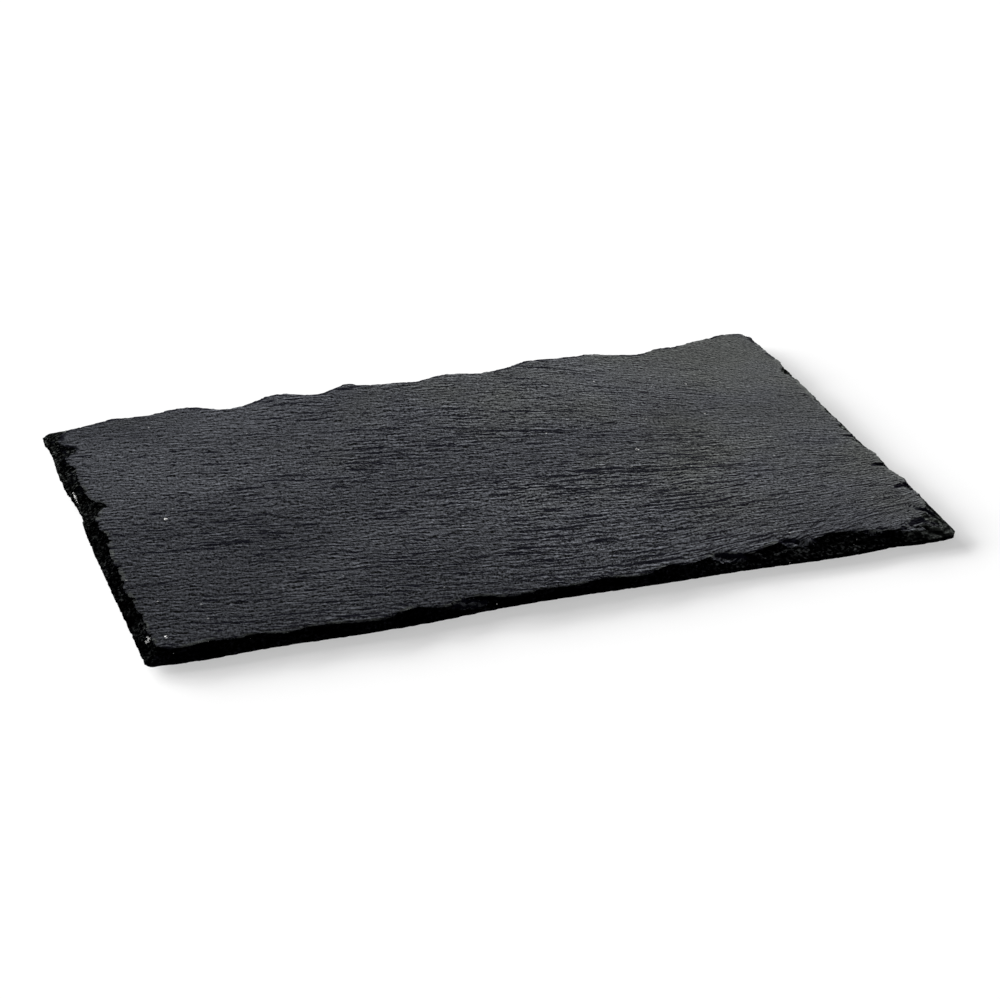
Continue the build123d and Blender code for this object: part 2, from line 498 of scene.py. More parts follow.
def edge_rings(top, lip, underside, look):
    """The dressed edge: a stepped, chipped profile carried round the slab, from the serving face to the underside.

    On the bevel the profile goes down evenly and out by a staircase of broken layers. Chips are broken planes that
    push it in, square to the bevel. The arris below the lip is rough but upright.
    """
    at, around = walked(top[:, :2])
    at = at[:, None]
    inside = inward(lip[:, :2])[:, None]

    def chips(level):
        depth = 0.0
        for seed, (size, strength, raised) in enumerate(CHIPS, 23):
            cells = round(around / (size * look.chip_size))
            planes = facets(at * cells, level / size, look.seed + seed, cells)
            depth = depth + strength * np.clip(planes + raised, 0.0, DEEPEST_CHIP)
        return depth

    share = np.arange(1, BEVEL_RINGS + 1)[None, :] / BEVEL_RINGS
    drop = top[:, 2:] - lip[:, 2:]
    run = np.linalg.norm(lip[:, :2] - top[:, :2], axis=1, keepdims=True)
    layers = drop / look.lamina
    phase = 0.0
    for seed, (spacing, strength, rows) in enumerate(LAYER_SHIFTS, 21):
        cells = round(around / (spacing * MM))
        phase = phase + strength * noise(at * cells, rows * share, look.seed + seed, cells)
    out = held(stepped(share * layers + phase, LAYER_RAMP) / layers - phase / layers * (1 - share))
    out = (1 - LAYER_RUN) * share + LAYER_RUN * out
    out[:, -1] = 1.0
    level = CHIP_ROWS * share
    depth = look.chip_depth * chips(level) * np.minimum(1.0, level)
    slant = np.hypot(drop, run)
    bevel = top[:, None, :2] + (lip - top)[:, None, :2] * out[..., None]
    bevel = bevel + inside * (depth * drop / slant)[..., None]
    height = top[:, 2:] - drop * share - depth * run / slant * (1 - share)

    down = np.arange(1, ARRIS_RINGS + 1)[None, :] / ARRIS_RINGS
    arris = lip[:, None, :2] + (underside - lip)[:, None, :2] * down[..., None]
    arris = arris + inside * (ARRIS_CHIPS * look.chip_depth * chips(CHIP_ROWS + down))[..., None]
    arris_height = lip[:, 2:] + (underside[:, 2:] - lip[:, 2:]) * down

    flat = np.concatenate([bevel, arris], axis=1)
    z = np.concatenate([height, arris_height], axis=1)
    return np.concatenate([flat, z[..., None]], axis=2)


def underside_grid(ring, columns, rows, look):
    """The split underside inside a ring: the serving face's waves, hollowed upwards, and flat round each film."""
    flat = patch(ring, columns, rows)
    along, across = riven_coordinates(-flat[:, 0], flat[:, 1], look)
    rise = riven_depth(along, across, look)
    for name in FILM_NODES:
        low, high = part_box(name)
        middle, reach = (low + high) / 2, high.x - low.x
        away = np.hypot(flat[:, 0] - middle.x, flat[:, 1] - middle.y)
        rise *= faded(rising(away, reach, 2 * reach))
    return np.column_stack([flat, SLAB_LOW.z + rise])


def slab_surface(look):
    """All points of the slab, its faces in five groups (serving face, its rim, edge, rim below and underside), and how
    far each point is on the arris of the serving face and on the wall of a scoop.

    A riven grid on top, rings of the dressed edge round it, and a coarser riven grid below. A strip of many-sided
    faces joins each grid to the finer edge.
    """
    points = node_points("slate_slab")
    lip_height = points[np.argmax(points[:, 0]), 2]
    serving, lip, base = (cad_outline(z) for z in (SLAB_HIGH.z, lip_height, SLAB_LOW.z))
    around = len(serving)

    face = patch((serving + FACE_RIM * inward(serving))[::EDGE_STEP], COLUMNS, ROWS)
    bites = edge_bites(serving, BITES, 31, look)
    flat = np.concatenate([face, serving + inward(serving) * bites[:, None]])
    along, across = riven_coordinates(flat[:, 0], flat[:, 1], look)
    top = np.column_stack([flat, SLAB_HIGH.z - riven_depth(along, across, look) - scoops(flat)[0]])
    top[len(face) :, 2] -= ARRIS_DROP * bites
    calmer = FRONT_LIP + (1 - FRONT_LIP) * held(lip[:, 1] / (15 * MM) - 0.33)
    bitten = inward(lip) * (calmer * edge_bites(lip, LIP_BITES, 32, look))[:, None]
    lip = np.column_stack([lip + bitten, np.full(around, lip_height)])
    base = np.column_stack([base + bitten, np.full(around, SLAB_LOW.z)])
    rings = edge_rings(top[len(face) :], lip, base, look).transpose(1, 0, 2)

    columns, rows = COLUMNS // UNDERSIDE_STEP, ROWS // UNDERSIDE_STEP
    last = rings[-1, :, :2]
    inner = (last + UNDERSIDE_RIM * inward(last))[:: UNDERSIDE_STEP * EDGE_STEP]
    below = underside_grid(inner, columns, rows, look)

    points = np.concatenate([top, rings.reshape(-1, 3), below])
    first_below = len(points) - len(below)
    over, under = grid_index(COLUMNS, ROWS), first_below + grid_index(columns, rows)
    ring_index = np.arange(len(face), first_below).reshape(-1, around)
    upper, lower = ring_index[:-1], ring_index[1:]
    after = np.roll(np.arange(around), -1)
    edge = np.stack([lower, lower[:, after], upper[:, after], upper], axis=-1).reshape(-1, 4)
    faces = [
        grid_quads(over),
        joining_strip(rim(over), ring_index[0]),
        edge,
        joining_strip(rim(under), ring_index[-1])[:, ::-1],
        grid_quads(under)[:, ::-1],
    ]
    on_serving_arris = np.zeros(len(points))
    on_serving_arris[ring_index[0]] = 1.0
    # The scoops' back walls, which the colour darkens as painted shade
    scoop_wall_shade = np.where(points[:, 2] > lip_height, scoops(points[:, :2])[1], 0.0)
    return points, faces, {SERVING_ARRIS: on_serving_arris, SCOOP_SHADE: scoop_wall_shade}


def bake_places(points, faces):
    """Places on the bake sheet for each corner of each face.

    The serving face lies flat at full size and the underside at half size. Each side of the edge is unrolled: along
    it by its share of the side, up it by its share of the rings.
    """
    flat, low = points[:, :2], np.array(SLAB_LOW[:2])
    over = BAKE_FACE_START + flat - low
    under = BAKE_UNDERSIDE_START + np.abs([[SLAB_HIGH.x, SLAB_LOW.y]] - flat) / 2
    side = np.repeat(np.arange(4), SIDE_STEPS)
    step = np.concatenate([np.arange(steps) for steps in SIDE_STEPS])
    rings = BEVEL_RINGS + ARRIS_RINGS
    ring = np.arange(rings)[:, None]

    def unrolled(ahead, below):
        u = BAKE_STRIP_LEFT[side] + BAKE_STRIP_LENGTH[side] * (step + ahead) / SIDE_STEPS[side]
        v = BAKE_STRIP_LOW[side] + BAKE_STRIP_HEIGHT * (1 - (ring + below) / rings)
        return np.stack(np.broadcast_arrays(u, v), axis=-1)

    edge = np.stack([unrolled(0, 1), unrolled(1, 1), unrolled(1, 0), unrolled(0, 0)], axis=2)
    places = [over[faces[0]], over[faces[1]], edge, under[faces[3]], under[faces[4]]]
    return np.concatenate([place.reshape(-1, 2) for place in places]) / BAKE_SHEET


def edge_grey(middles, normals):
    """How grey each face of the edge is: all at the right, the back and in scoops, less at the left's back half and at
    the front right corner, hardly at the front. This is partly slate broken along its layers, which is grey, and partly
    painted shade on the sides that face away from the light behind the right end. Faces that look up are greyer, and
    those that look down blacker: painted light from above."""
    x, y = middles[:, 0] / MM, middles[:, 1] / MM
    at_end = SLAB_HIGH.x / MM - np.abs(x) < SLAB_HIGH.y / MM - np.abs(y)
    # Blacker at the left end and the front, which face away from the light behind the right end: partly slate broken
    # across its layers, partly painted shade
    right = 0.65 + 0.35 * rising(y, -50, -30)
    left = 0.05 + 0.2 * rising(y, 0, 30) + 0.3 * rising(y, 60, 75)
    front = -0.1 + 0.08 * rising(x, 20, 60) + 0.4 * rising(x, 112, 120)
    back = 0.45 + 0.45 * rising(x, -122, -118)
    grey = np.where(at_end, np.where(x > 0, right, left), np.where(y > 0, back, front))
    # Faces that look up are greyer: painted light from above
    grey = np.minimum(grey + 0.4 * (normals[:, 2] - 0.7), 0.95)
    _, walls, floors = scoops(middles[:, :2])
    return np.where(np.maximum(walls, floors) > 0.5, 1.0, grey)


def foot_surface(low, high):
    """A moulded foot as a profile turned round its axis: points and faces.

    From the middle of the sole out: a dish whose depth falls off with the square of the radius, a flat ring that
    stands on the table, a rounded edge, a wall that leans in by its draft, a small rounded edge and the flat top.
    """
    middle, radius, height = (low + high) / 2, (high.x - low.x) / 2, high.z - low.z
    dish, top = SOLE_DISH * radius, radius * (1 - FOOT_DRAFT)
    reach = np.linspace(0.0, 1.0, DISH_STEPS)[1:]
    turn = np.linspace(0.0, math.pi / 2, FOOT_EDGE_STEPS)
    r = np.concatenate([
        dish * reach, [0.5 * (dish + radius)], radius - FOOT_EDGE * (1 - np.sin(turn)),
        top - FOOT_TOP_EDGE * (1 - np.cos(turn)), top * FOOT_TOP_RINGS,
    ])
    z = np.concatenate([
        DISH_DEPTH * height * (1 - reach**2), [0.0], FOOT_EDGE * (1 - np.cos(turn)),
        height - FOOT_TOP_EDGE * (1 - np.sin(turn)), np.full(len(FOOT_TOP_RINGS), height),
    ])
    angle = np.arange(FOOT_SEGMENTS) * 2 * math.pi / FOOT_SEGMENTS
    rings = np.stack(np.broadcast_arrays(
        middle.x + r[:, None] * np.cos(angle), middle.y + r[:, None] * np.sin(angle), low.z + z[:, None]
    ), axis=-1)
    poles = [(middle.x, middle.y, low.z + DISH_DEPTH * height), (middle.x, middle.y, high.z)]
    index = np.arange(rings.shape[0] * FOOT_SEGMENTS).reshape(-1, FOOT_SEGMENTS)
    turned = np.roll(index, -1, axis=1)
    walls = np.stack([index[:-1], turned[:-1], turned[1:], index[1:]], axis=-1).reshape(-1, 4)
    sole, cap = index.size, index.size + 1
    fans = [
        np.stack([np.full(FOOT_SEGMENTS, sole), turned[0], index[0]], axis=-1),
        np.stack([np.full(FOOT_SEGMENTS, cap), index[-1], turned[-1]], axis=-1),
    ]
    return np.concatenate([rings.reshape(-1, 3), poles]), [walls, *fans]


def new_piece(name, points, faces, material, replaced):
    """A mesh object from whole arrays of points and faces, riding on the frame in place of its CAD node."""
    mesh = bpy.data.meshes.new(name)
    mesh.from_pydata(points.tolist(), [], [face for group in faces for face in group.tolist()])
    mesh.materials.append(material)
    piece = bpy.data.objects.new(name, mesh)
    bpy.context.scene.collection.objects.link(piece)
    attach(piece, BODY)
    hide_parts(replaced)
    return piece


def add_map(mesh, name, places):
    """A UV map from the places of all face corners."""
    mesh.uv_layers.new(name=name).uv.foreach_set("vector", places.astype(np.float32).ravel())


def add_attribute(mesh, name, domain, values):
    """A value for each point or each face."""
    mesh.attributes.new(name, "FLOAT", domain).data.foreach_set("value", values.astype(np.float32))


def feed(tree, node, inputs):
    """Sets each named input of a node to a value, or links it to an output."""
    for name, value in inputs.items():
        if isinstance(value, bpy.types.NodeSocket):
            tree.links.new(value, node.inputs[name])
        else:
            node.inputs[name].default_value = value


def add_node(tree, kind, inputs=None, **settings):
    """A node with its settings and its named inputs."""
    node = tree.nodes.new(kind)
    for name, value in settings.items():
        setattr(node, name, value)
    feed(tree, node, inputs or {})
    return node


def emptied(holder):
    """The node tree of a material or a world, with nothing in it."""
    holder.use_nodes = True
    holder.node_tree.nodes.clear()
    return holder.node_tree


def new_material(name):
    """A node material with a Principled shader alone, and its tree."""
    material = bpy.data.materials.new(name)
    tree = emptied(material)
    shader = tree.nodes.new("ShaderNodeBsdfPrincipled")
    add_node(tree, "ShaderNodeOutputMaterial", {"Surface": shader.outputs["BSDF"]})
    return material, tree, shader


def object_place(tree):
    """Places on the piece, in metres."""
    return tree.nodes.new("ShaderNodeTexCoord").outputs["Object"]


def attribute(tree, name):
    """A value that the mesh carries."""
    return add_node(tree, "ShaderNodeAttribute", attribute_name=name).outputs["Fac"]


def scaled(tree, vector, scale):
    """A vector times a scale for each axis."""
    return add_node(tree, "ShaderNodeVectorMath", {0: vector, 1: scale}, operation="MULTIPLY").outputs[0]


def moved(tree, vector, offset):
    """A vector plus an offset."""
    return add_node(tree, "ShaderNodeVectorMath", {0: vector, 1: offset}, operation="ADD").outputs[0]


def noise_value(tree, vector, features, detail=2.0, roughness=0.6):
    """Fractal noise from 0 to 1, with so many features for each unit of the vector, or for each unit of each axis."""
    if isinstance(features, tuple):
        vector, features = scaled(tree, vector, features), 1.0
    inputs = {"Vector": vector, "Scale": features, "Detail": detail, "Roughness": roughness}
    return add_node(tree, "ShaderNodeTexNoise", inputs).outputs["Fac"]


def ramped(tree, value, low, high, to_low=0.0, to_high=1.0):
    """A value taken from one range to another, and held at its ends."""
    inputs = {"Value": value, "From Min": low, "From Max": high, "To Min": to_low, "To Max": to_high}
    return add_node(tree, "ShaderNodeMapRange", inputs, clamp=True).outputs["Result"]


def between(tree, share, first, second):
    """From a first value to a second one by a share from 0 to 1."""
    return ramped(tree, share, 0.0, 1.0, first, second)


def computed(tree, operation, *values):
    """The result of one sum on values."""
    return add_node(tree, "ShaderNodeMath", dict(enumerate(values)), operation=operation).outputs[0]


def product(tree, *values):
    """All values multiplied."""
    return reduce(lambda first, second: computed(tree, "MULTIPLY", first, second), values)


def highest(tree, *values):
    """The highest of all values."""
    return reduce(lambda first, second: computed(tree, "MAXIMUM", first, second), values)


def blended(tree, factor, first, second, blend="MIX"):
    """Two colours mixed by a factor."""
    colours = [
        value if isinstance(value, bpy.types.NodeSocket) else (*value[:3], 1.0) for value in (first, second)
    ]
    inputs = {0: factor, 6: colours[0], 7: colours[1]}
    return add_node(tree, "ShaderNodeMix", inputs, data_type="RGBA", blend_type=blend).outputs[2]


def bumped(tree, height, distance):
    """Normals tilted by a height, in shares of a distance."""
    inputs = {"Height": height, "Distance": distance, "Strength": 1.0}
    return add_node(tree, "ShaderNodeBump", inputs).outputs["Normal"]


def effect(tree, name, build, inputs):
    """A node group placed in a material with its own inputs. `build` fills it the first time, and gives its output."""
    group = bpy.data.node_groups.get(name)
    if group is None:
        group = bpy.data.node_groups.new(name, "ShaderNodeTree")
        for label in inputs:
            kind = "NodeSocketVector" if label == "Vector" else "NodeSocketFloat"
            group.interface.new_socket(label, in_out="INPUT", socket_type=kind)
        group.interface.new_socket("Mask", in_out="OUTPUT", socket_type="NodeSocketFloat")
        given = group.nodes.new("NodeGroupInput").outputs
        add_node(group, "NodeGroupOutput", {"Mask": build(group, given)})
    return add_node(tree, "ShaderNodeGroup", inputs, node_tree=group).outputs["Mask"]


def mottle(tree, vector, features):
    """Fine fractal mottle from 0 to 1, with so many features for each metre."""

    def build(group, given):
        return ramped(group, noise_value(group, given["Vector"], given["Features"], 4.0, 0.7), 0.3, 0.7)

    return effect(tree, "Fine mottle", build, {"Vector": vector, "Features": features})


def specks(tree, vector, cells, share):
    """Mask of small specks: the middles of a share of scattered cells, so many for each metre, each with a size and a
    strength of its own. Places are moved by a noise, which makes them ragged."""

    def build(group, given):
        place = given["Vector"]
        stray = add_node(group, "ShaderNodeTexNoise", {"Vector": place, "Scale": SPECK_OUTLINE}).outputs["Color"]
        ragged = moved(group, place, scaled(group, stray, (0.6 * MM, 0.6 * MM, 0.6 * MM)))
        scattered = add_node(group, "ShaderNodeTexVoronoi", {"Vector": ragged, "Scale": given["Cells"]})
        own = add_node(group, "ShaderNodeSeparateColor", {"Color": scattered.outputs["Color"]}).outputs
        near = computed(group, "LESS_THAN", scattered.outputs["Distance"], between(group, own[1], 0.04, 0.14))
        rare = computed(group, "LESS_THAN", own[0], given["Share"])
        return product(group, near, rare, between(group, own[2], 0.12, 0.8))

    return effect(tree, "Pale specks", build, {"Vector": vector, "Cells": cells, "Share": share})


def chip_flecks(tree, vector):
    """Mask of the pale flecks that chips left: a ragged ellipse round each of their middles, seen from above, and none
    on the underside."""

    def build(group, given):
        place = given["Vector"]
        ragged = ramped(group, noise_value(group, place, FLECK_OUTLINE), 0.4, 0.6, 0.1, 1.3)
        masks = []
        for x, y, along, across in FLECKS:
            apart = moved(group, place, (-x * MM, -y * MM, 0.0))
            apart = scaled(group, apart, (1.0 / (along * MM), 1.0 / (across * MM), 0.0))
            away = add_node(group, "ShaderNodeVectorMath", {0: apart}, operation="LENGTH").outputs["Value"]
            masks.append(computed(group, "LESS_THAN", away, ragged))
        height = add_node(group, "ShaderNodeSeparateXYZ", {0: place}).outputs[2]
        return product(group, highest(group, *masks), computed(group, "GREATER_THAN", height, FLECK_LEVEL))

    return effect(tree, "Chip flecks", build, {"Vector": vector})


def grain_noise(tree, grain_line, seed, length, width):
    """Smooth noise from 0 to 1, so many millimetres long along the grain and so wide across it."""
    apart = moved(tree, grain_line, (0.3 * seed, 0.4 * seed, 0.0))
    return noise_value(tree, apart, (1.0 / (length * MM), 1.0 / (width * MM), 1.0), 0.0)


def crumbs(tree, grain_line, seed, length, width):
    """The same noise about zero."""
    return computed(tree, "SUBTRACT", grain_noise(tree, grain_line, seed, length, width), 0.5)


def ledges(tree, grain_line, seed, length, width):
    """Fine ledges along the grain, lit at their backs and dark at their fronts: a noise less itself further back."""
    behind = moved(tree, grain_line, (0.0, 0.7 * width * MM, 0.0))
    return computed(
        tree, "SUBTRACT", *(grain_noise(tree, line, seed, length, width) for line in (grain_line, behind))
    )


def wavered(tree, grain_line, seed, length, width, reach):
    """Places along the grain, moved across it by a noise of that length and width times a reach."""
    waver = product(tree, grain_noise(tree, grain_line, seed, length, width), reach * MM)
    return moved(tree, grain_line, add_node(tree, "ShaderNodeCombineXYZ", {"Y": waver}).outputs[0])


def ledge_shade_and_highlight(tree, grain_line, broken):
    """Masks of thin crumbled lines of painted shade along the grain and of painted highlights at their rims: the
    steepest fronts and backs of ledges, which are made steeper where the face is broken."""
    crumb_length, crumb_width, strength = STEEP_LEDGE_CRUMBS
    dark = lit = 0.0
    for seed, (length, width, drop) in enumerate(STEEP_LEDGES, 10):
        crumbled = computed(
            tree, "MULTIPLY_ADD", crumbs(tree, grain_line, seed, crumb_length, crumb_width), strength,
            ledges(tree, grain_line, seed, length, width),
        )
        steep = product(tree, crumbled, broken)
        dark = highest(tree, dark, ramped(tree, steep, -0.02 - drop, -drop, 1.0, 0.0))
        lit = highest(tree, lit, ramped(tree, steep, 0.75 * drop, drop))
    return dark, lit


def riven_material(look):
    """Split slate: two greys in slow clouds, paler towards the back and the right end as painted sheen, with a faint
    green cast; crumbs along the grain, and ledges along it in painted light and shade, with painted shade in the
    steepest ledge fronts and painted highlights on the steepest backs; a painted highlight on the arris at the front
    and painted shade on it at the back; painted shade on the walls of scoops; and a few pale specks."""
    material, tree, shader = new_material("riven_slate")
    place = object_place(tree)
    x, y, _ = add_node(tree, "ShaderNodeSeparateXYZ", {0: place}).outputs
    grain_line = add_node(tree, "ShaderNodeUVMap", uv_map=RIVEN_MAP).outputs["UV"]
    for seed, waver in enumerate(WAVERS, 20):
        grain_line = wavered(tree, grain_line, seed, *waver)

    # Two greys in slow clouds, paler towards the back and the right end: that gradient is painted sheen
    clouds = noise_value(tree, place, CLOUDS, 3.0)
    clouds_and_painted_sheen = computed(tree, "MULTIPLY_ADD", y, 0.6, computed(tree, "ADD", x, clouds))
    colour = blended(tree, ramped(tree, clouds_and_painted_sheen, 0.3, 0.7), look.dark_tone, look.pale_tone)
    clouds = noise_value(tree, place, GREEN_CLOUDS)
    greener = computed(tree, "MULTIPLY_ADD", computed(tree, "ADD", x, y), 2.0, clouds)
    colour = blended(tree, ramped(tree, greener, 0.55, 0.85), colour, look.green_cast, "MULTIPLY")

    # The relief is multiplied into the colour: its crumbs are grain, and its ledges are painted light at their backs
    # and painted shade at their fronts
    relief = 0.0
    for seed, (length, width, strength) in enumerate(LEDGES):
        relief = computed(tree, "MULTIPLY_ADD", ledges(tree, grain_line, seed, length, width), strength, relief)
    for seed, (length, width, strength) in enumerate(CRUMBS, len(LEDGES)):
        relief = computed(tree, "MULTIPLY_ADD", crumbs(tree, grain_line, seed, length, width), strength, relief)
    # Calmer towards the left end, the right end and the back; towards the back and the right end this is painted sheen
    # washing out the grain
    calm = product(
        tree, ramped(tree, x, -90 * MM, 0.0, 0.85, 1.0), ramped(tree, x, 40 * MM, 110 * MM, 1.0, 0.8),
        ramped(tree, y, -10 * MM, 60 * MM, 1.0, 0.84),
    )
    gathered = ramped(tree, noise_value(tree, place, BROKEN_PATCHES, 1.0), 0.36, 0.64, 0.85, 1.1)
    # Painted shade in the steepest ledge fronts and painted highlights on the steepest ledge backs
    painted_ledge_shade, painted_ledge_highlights = ledge_shade_and_highlight(tree, grain_line, product(tree, calm, gathered))
    relief = computed(tree, "MULTIPLY_ADD", painted_ledge_highlights, 0.2, product(tree, relief, calm))
    lit = highest(tree, computed(tree, "ADD", relief, 1.0), 0.03)
    colour = blended(tree, 1.0, colour, computed(tree, "POWER", lit, 1.2), "MULTIPLY")

    # The serving face's arris: a painted highlight on it towards the front, and painted shade on it in patches at the
    # back
    on_serving_arris, patches = ramped(tree, attribute(tree, SERVING_ARRIS), 0.2, 0.5), noise_value(tree, place, ARRIS_PATCHES)
    at_front, at_back = ramped(tree, y, 20 * MM, 50 * MM, 1.0, 0.0), ramped(tree, y, 50 * MM, 60 * MM)
    painted_arris_highlight = product(tree, on_serving_arris, ramped(tree, patches, 0.45, 0.6, 0.0, 0.7), at_front)
    painted_arris_shade = product(tree, on_serving_arris, ramped(tree, patches, 0.46, 0.52, 0.0, 0.9), at_back)
    # Painted shade: at the arris at the back, on the walls of scoops and in the steepest ledge fronts
    dark = highest(tree, painted_arris_shade, ramped(tree, attribute(tree, SCOOP_SHADE), 0.35, 0.5), painted_ledge_shade)
    colour = blended(tree, painted_arris_highlight, colour, look.arris_highlight_tone)
    colour = blended(tree, dark, colour, look.painted_shade_tone)
    colour = blended(tree, specks(tree, place, *FACE_SPECKS), colour, look.speck_tone)
    feed(tree, shader, {
        "Base Color": blended(tree, chip_flecks(tree, place), colour, look.speck_tone),
        "Roughness": between(tree, mottle(tree, place, STONE_GRIT), 0.68, 0.82),
        "Specular IOR Level": 0.005,
        "Normal": bumped(tree, computed(tree, "SUBTRACT", relief, dark), 0.12 * MM),
    })
    return material


def dressed_material(look):
    """Broken slate of the dressed edge: near black, gritty, in thin level layers, and greyer by the edge grey, which is
    partly slate broken along its layers and partly painted light. It is lumpy and patchy towards the left end, with
    painted highlights on the lumps and painted shade on facets just below the serving face there, and sound towards the
    right end, with dark lines between layers."""
    material, tree, shader = new_material("dressed_slate")
    place = object_place(tree)
    x, _, z = add_node(tree, "ShaderNodeSeparateXYZ", {0: place}).outputs
    grey, grit = attribute(tree, EDGE_GREY), mottle(tree, place, STONE_GRIT)
    sound = product(tree, ramped(tree, x, -60 * MM, 60 * MM), ramped(tree, grey, 0.1, 0.4))
    layers, lines = noise_value(tree, place, EDGE_LAYERS, 3.0), noise_value(tree, place, EDGE_LINES, 0.0)
    lumps, clusters = noise_value(tree, place, EDGE_LUMPS, 1.0), noise_value(tree, place, EDGE_CLUSTERS)
    # Grain, layers and patches; its sparse bright lumps on a dark ground are partly grain and partly painted highlights
    # on the lumps' tops
    shade = product(
        tree, between(tree, grit, 0.4, 1.6),
        ramped(tree, lumps, 0.5, 0.68, between(tree, sound, 0.08, 0.6), between(tree, sound, 3.4, 1.7)),
        ramped(tree, layers, 0.38, 0.62, 0.3, 1.7), ramped(tree, clusters, 0.38, 0.62, 0.25, 1.75),
        ramped(tree, lines, 0.39, 0.47, between(tree, sound, 1.0, 0.15), between(tree, sound, 1.0, 1.5)),
    )
    colour = blended(tree, ramped(tree, grey, 0.0, 1.0), look.edge_tone, look.green_tone)
    colour = blended(tree, 1.0, colour, shade, "MULTIPLY")
    # Painted shade in patches on the upper facets of the bevel towards the left end, just below the serving face
    shaded_facets = product(
        tree, ramped(tree, x, -10 * MM, 0.0, 1.0, 0.0), ramped(tree, grey, 0.2, 0.4),
        ramped(tree, z, 4.4 * MM, 5.0 * MM), ramped(tree, noise_value(tree, place, SHADED_FACET_PATCHES), 0.47, 0.51),
        ramped(tree, grit, 0.5, 0.8, 1.0, 0.3),
    )
    colour = blended(tree, shaded_facets, colour, look.painted_shade_tone)
    colour = blended(tree, specks(tree, place, *EDGE_SPECKS), colour, look.speck_tone)
    relief = computed(tree, "ADD", layers, product(tree, grit, 0.6))
    relief = computed(tree, "ADD", relief, product(tree, lumps, between(tree, sound, 1.0, 0.3)))
    feed(tree, shader, {
        "Base Color": blended(tree, chip_flecks(tree, place), colour, look.speck_tone),
        "Roughness": between(tree, grit, 0.7, 0.95),
        "Specular IOR Level": 0.0,
        "Normal": bumped(tree, relief, 0.5 * MM),
    })
    return material


def rubber_material(look):
    """Moulded rubber: near black, faintly mottled and dusty, with a fine matt grain."""
    material, tree, shader = new_material("foot_rubber")
    dust = mottle(tree, object_place(tree), RUBBER_DUST)
    feed(tree, shader, {
        "Base Color": blended(tree, ramped(tree, dust, 0.4, 1.0, 0.0, 0.6), look.rubber_tone, look.dust_tone),
        "Roughness": between(tree, dust, 0.62, 0.85),
        "Normal": bumped(tree, dust, 0.03 * MM),
    })
    return material


def film_material(look):
    """Adhesive film: a cloudy cream with duller voids."""
    material, tree, shader = new_material("adhesive_film")
    voids = mottle(tree, object_place(tree), FILM_VOIDS)
    feed(tree, shader, {
        "Base Color": blended(tree, voids, look.film_tone, look.void_tone),
        "Roughness": between(tree, voids, 0.3, 0.5),
    })
    return material


class SLATE_BOARD_OT_slab(Operator):
    """Build the riven slab over its CAD solid"""

    bl_idname = "slate_board.slab"
    bl_label = "Slate slab"

    def execute(self, context):
        look = context.scene.slate_slab
        points, faces, marks = slab_surface(look)
        slab = new_piece("riven_slab", points, faces, riven_material(look), "slate_slab")
        mesh = slab.data
        mesh.materials.append(dressed_material(look))
        of_edge = np.repeat([False, False, True, True, False], [len(group) for group in faces])
        middles, normals = np.empty((2, len(of_edge) * 3))
        mesh.polygons.foreach_get("center", middles)
        mesh.polygons.foreach_get("normal", normals)
        grey = edge_grey(middles.reshape(-1, 3), normals.reshape(-1, 3))
        mesh.polygons.foreach_set("use_smooth", ~of_edge)
        mesh.polygons.foreach_set("material_index", (of_edge & (grey < 1.0)).astype(np.int32))
        add_attribute(mesh, EDGE_GREY, "FACE", grey)
        for name, values in marks.items():
            add_attribute(mesh, name, "POINT", values)
        along, across = riven_coordinates(points[:, 0], points[:, 1], look)
        corners = np.concatenate([group.ravel() for group in faces])
        add_map(mesh, BAKE_MAP, bake_places(points, faces))
        add_map(mesh, RIVEN_MAP, np.column_stack([along, across])[corners])
        mesh.update()
        return {"FINISHED"}


class SLATE_BOARD_OT_feet(Operator):
    """Mould the rubber feet over their CAD solids and finish their adhesive films"""

    bl_idname = "slate_board.feet"
    bl_label = "Feet and films"

    def execute(self, context):
        look = context.scene.slate_feet
        rubber, film = rubber_material(look), film_material(look)
        for name in FOOT_NODES:
            points, faces = foot_surface(*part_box(name))
            foot = new_piece(f"moulded_{name}", points, faces, rubber, name)
            foot.data.shade_smooth()
        for name in FILM_NODES:
            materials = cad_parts[name].data.materials
            materials.clear()
            materials.append(film)
        return {"FINISHED"}


def white_to_the_eye(tree):
    """One for rays that the eye, a gloss or a glass sends, and zero for the rest."""
    path = tree.nodes.new("ShaderNodeLightPath").outputs
    return highest(tree, path["Is Camera Ray"], path["Is Glossy Ray"], path["Is Transmission Ray"])


def floor_material(look):
    """Pale floor: part glow that only the eye sees, part plain surface that takes the shadow."""
    material = bpy.data.materials.new("pale_floor")
    tree = emptied(material)
    seen = white_to_the_eye(tree)
    shown = tuple(channel * (1.0 - look.floor_glow) for channel in look.floor_tone)
    surface = add_node(tree, "ShaderNodeBsdfDiffuse", {"Color": blended(tree, seen, look.floor_tone, shown)})
    glow = add_node(tree, "ShaderNodeEmission", {"Strength": product(tree, seen, look.floor_glow)})
    both = add_node(tree, "ShaderNodeAddShader", {0: surface.outputs[0], 1: glow.outputs[0]})
    add_node(tree, "ShaderNodeOutputMaterial", {"Surface": both.outputs[0]})
    return material


def studio_sky(look):
    """Even light from all round that looks white to the eye."""
    world = bpy.data.worlds.new("studio_sky")
    tree = emptied(world)
    strength = between(tree, white_to_the_eye(tree), look.sky, 1.0)
    light = add_node(tree, "ShaderNodeBackground", {"Color": (1.0, 1.0, 1.0, 1.0), "Strength": strength})
    add_node(tree, "ShaderNodeOutputWorld", {"Surface": light.outputs[0]})
    return world


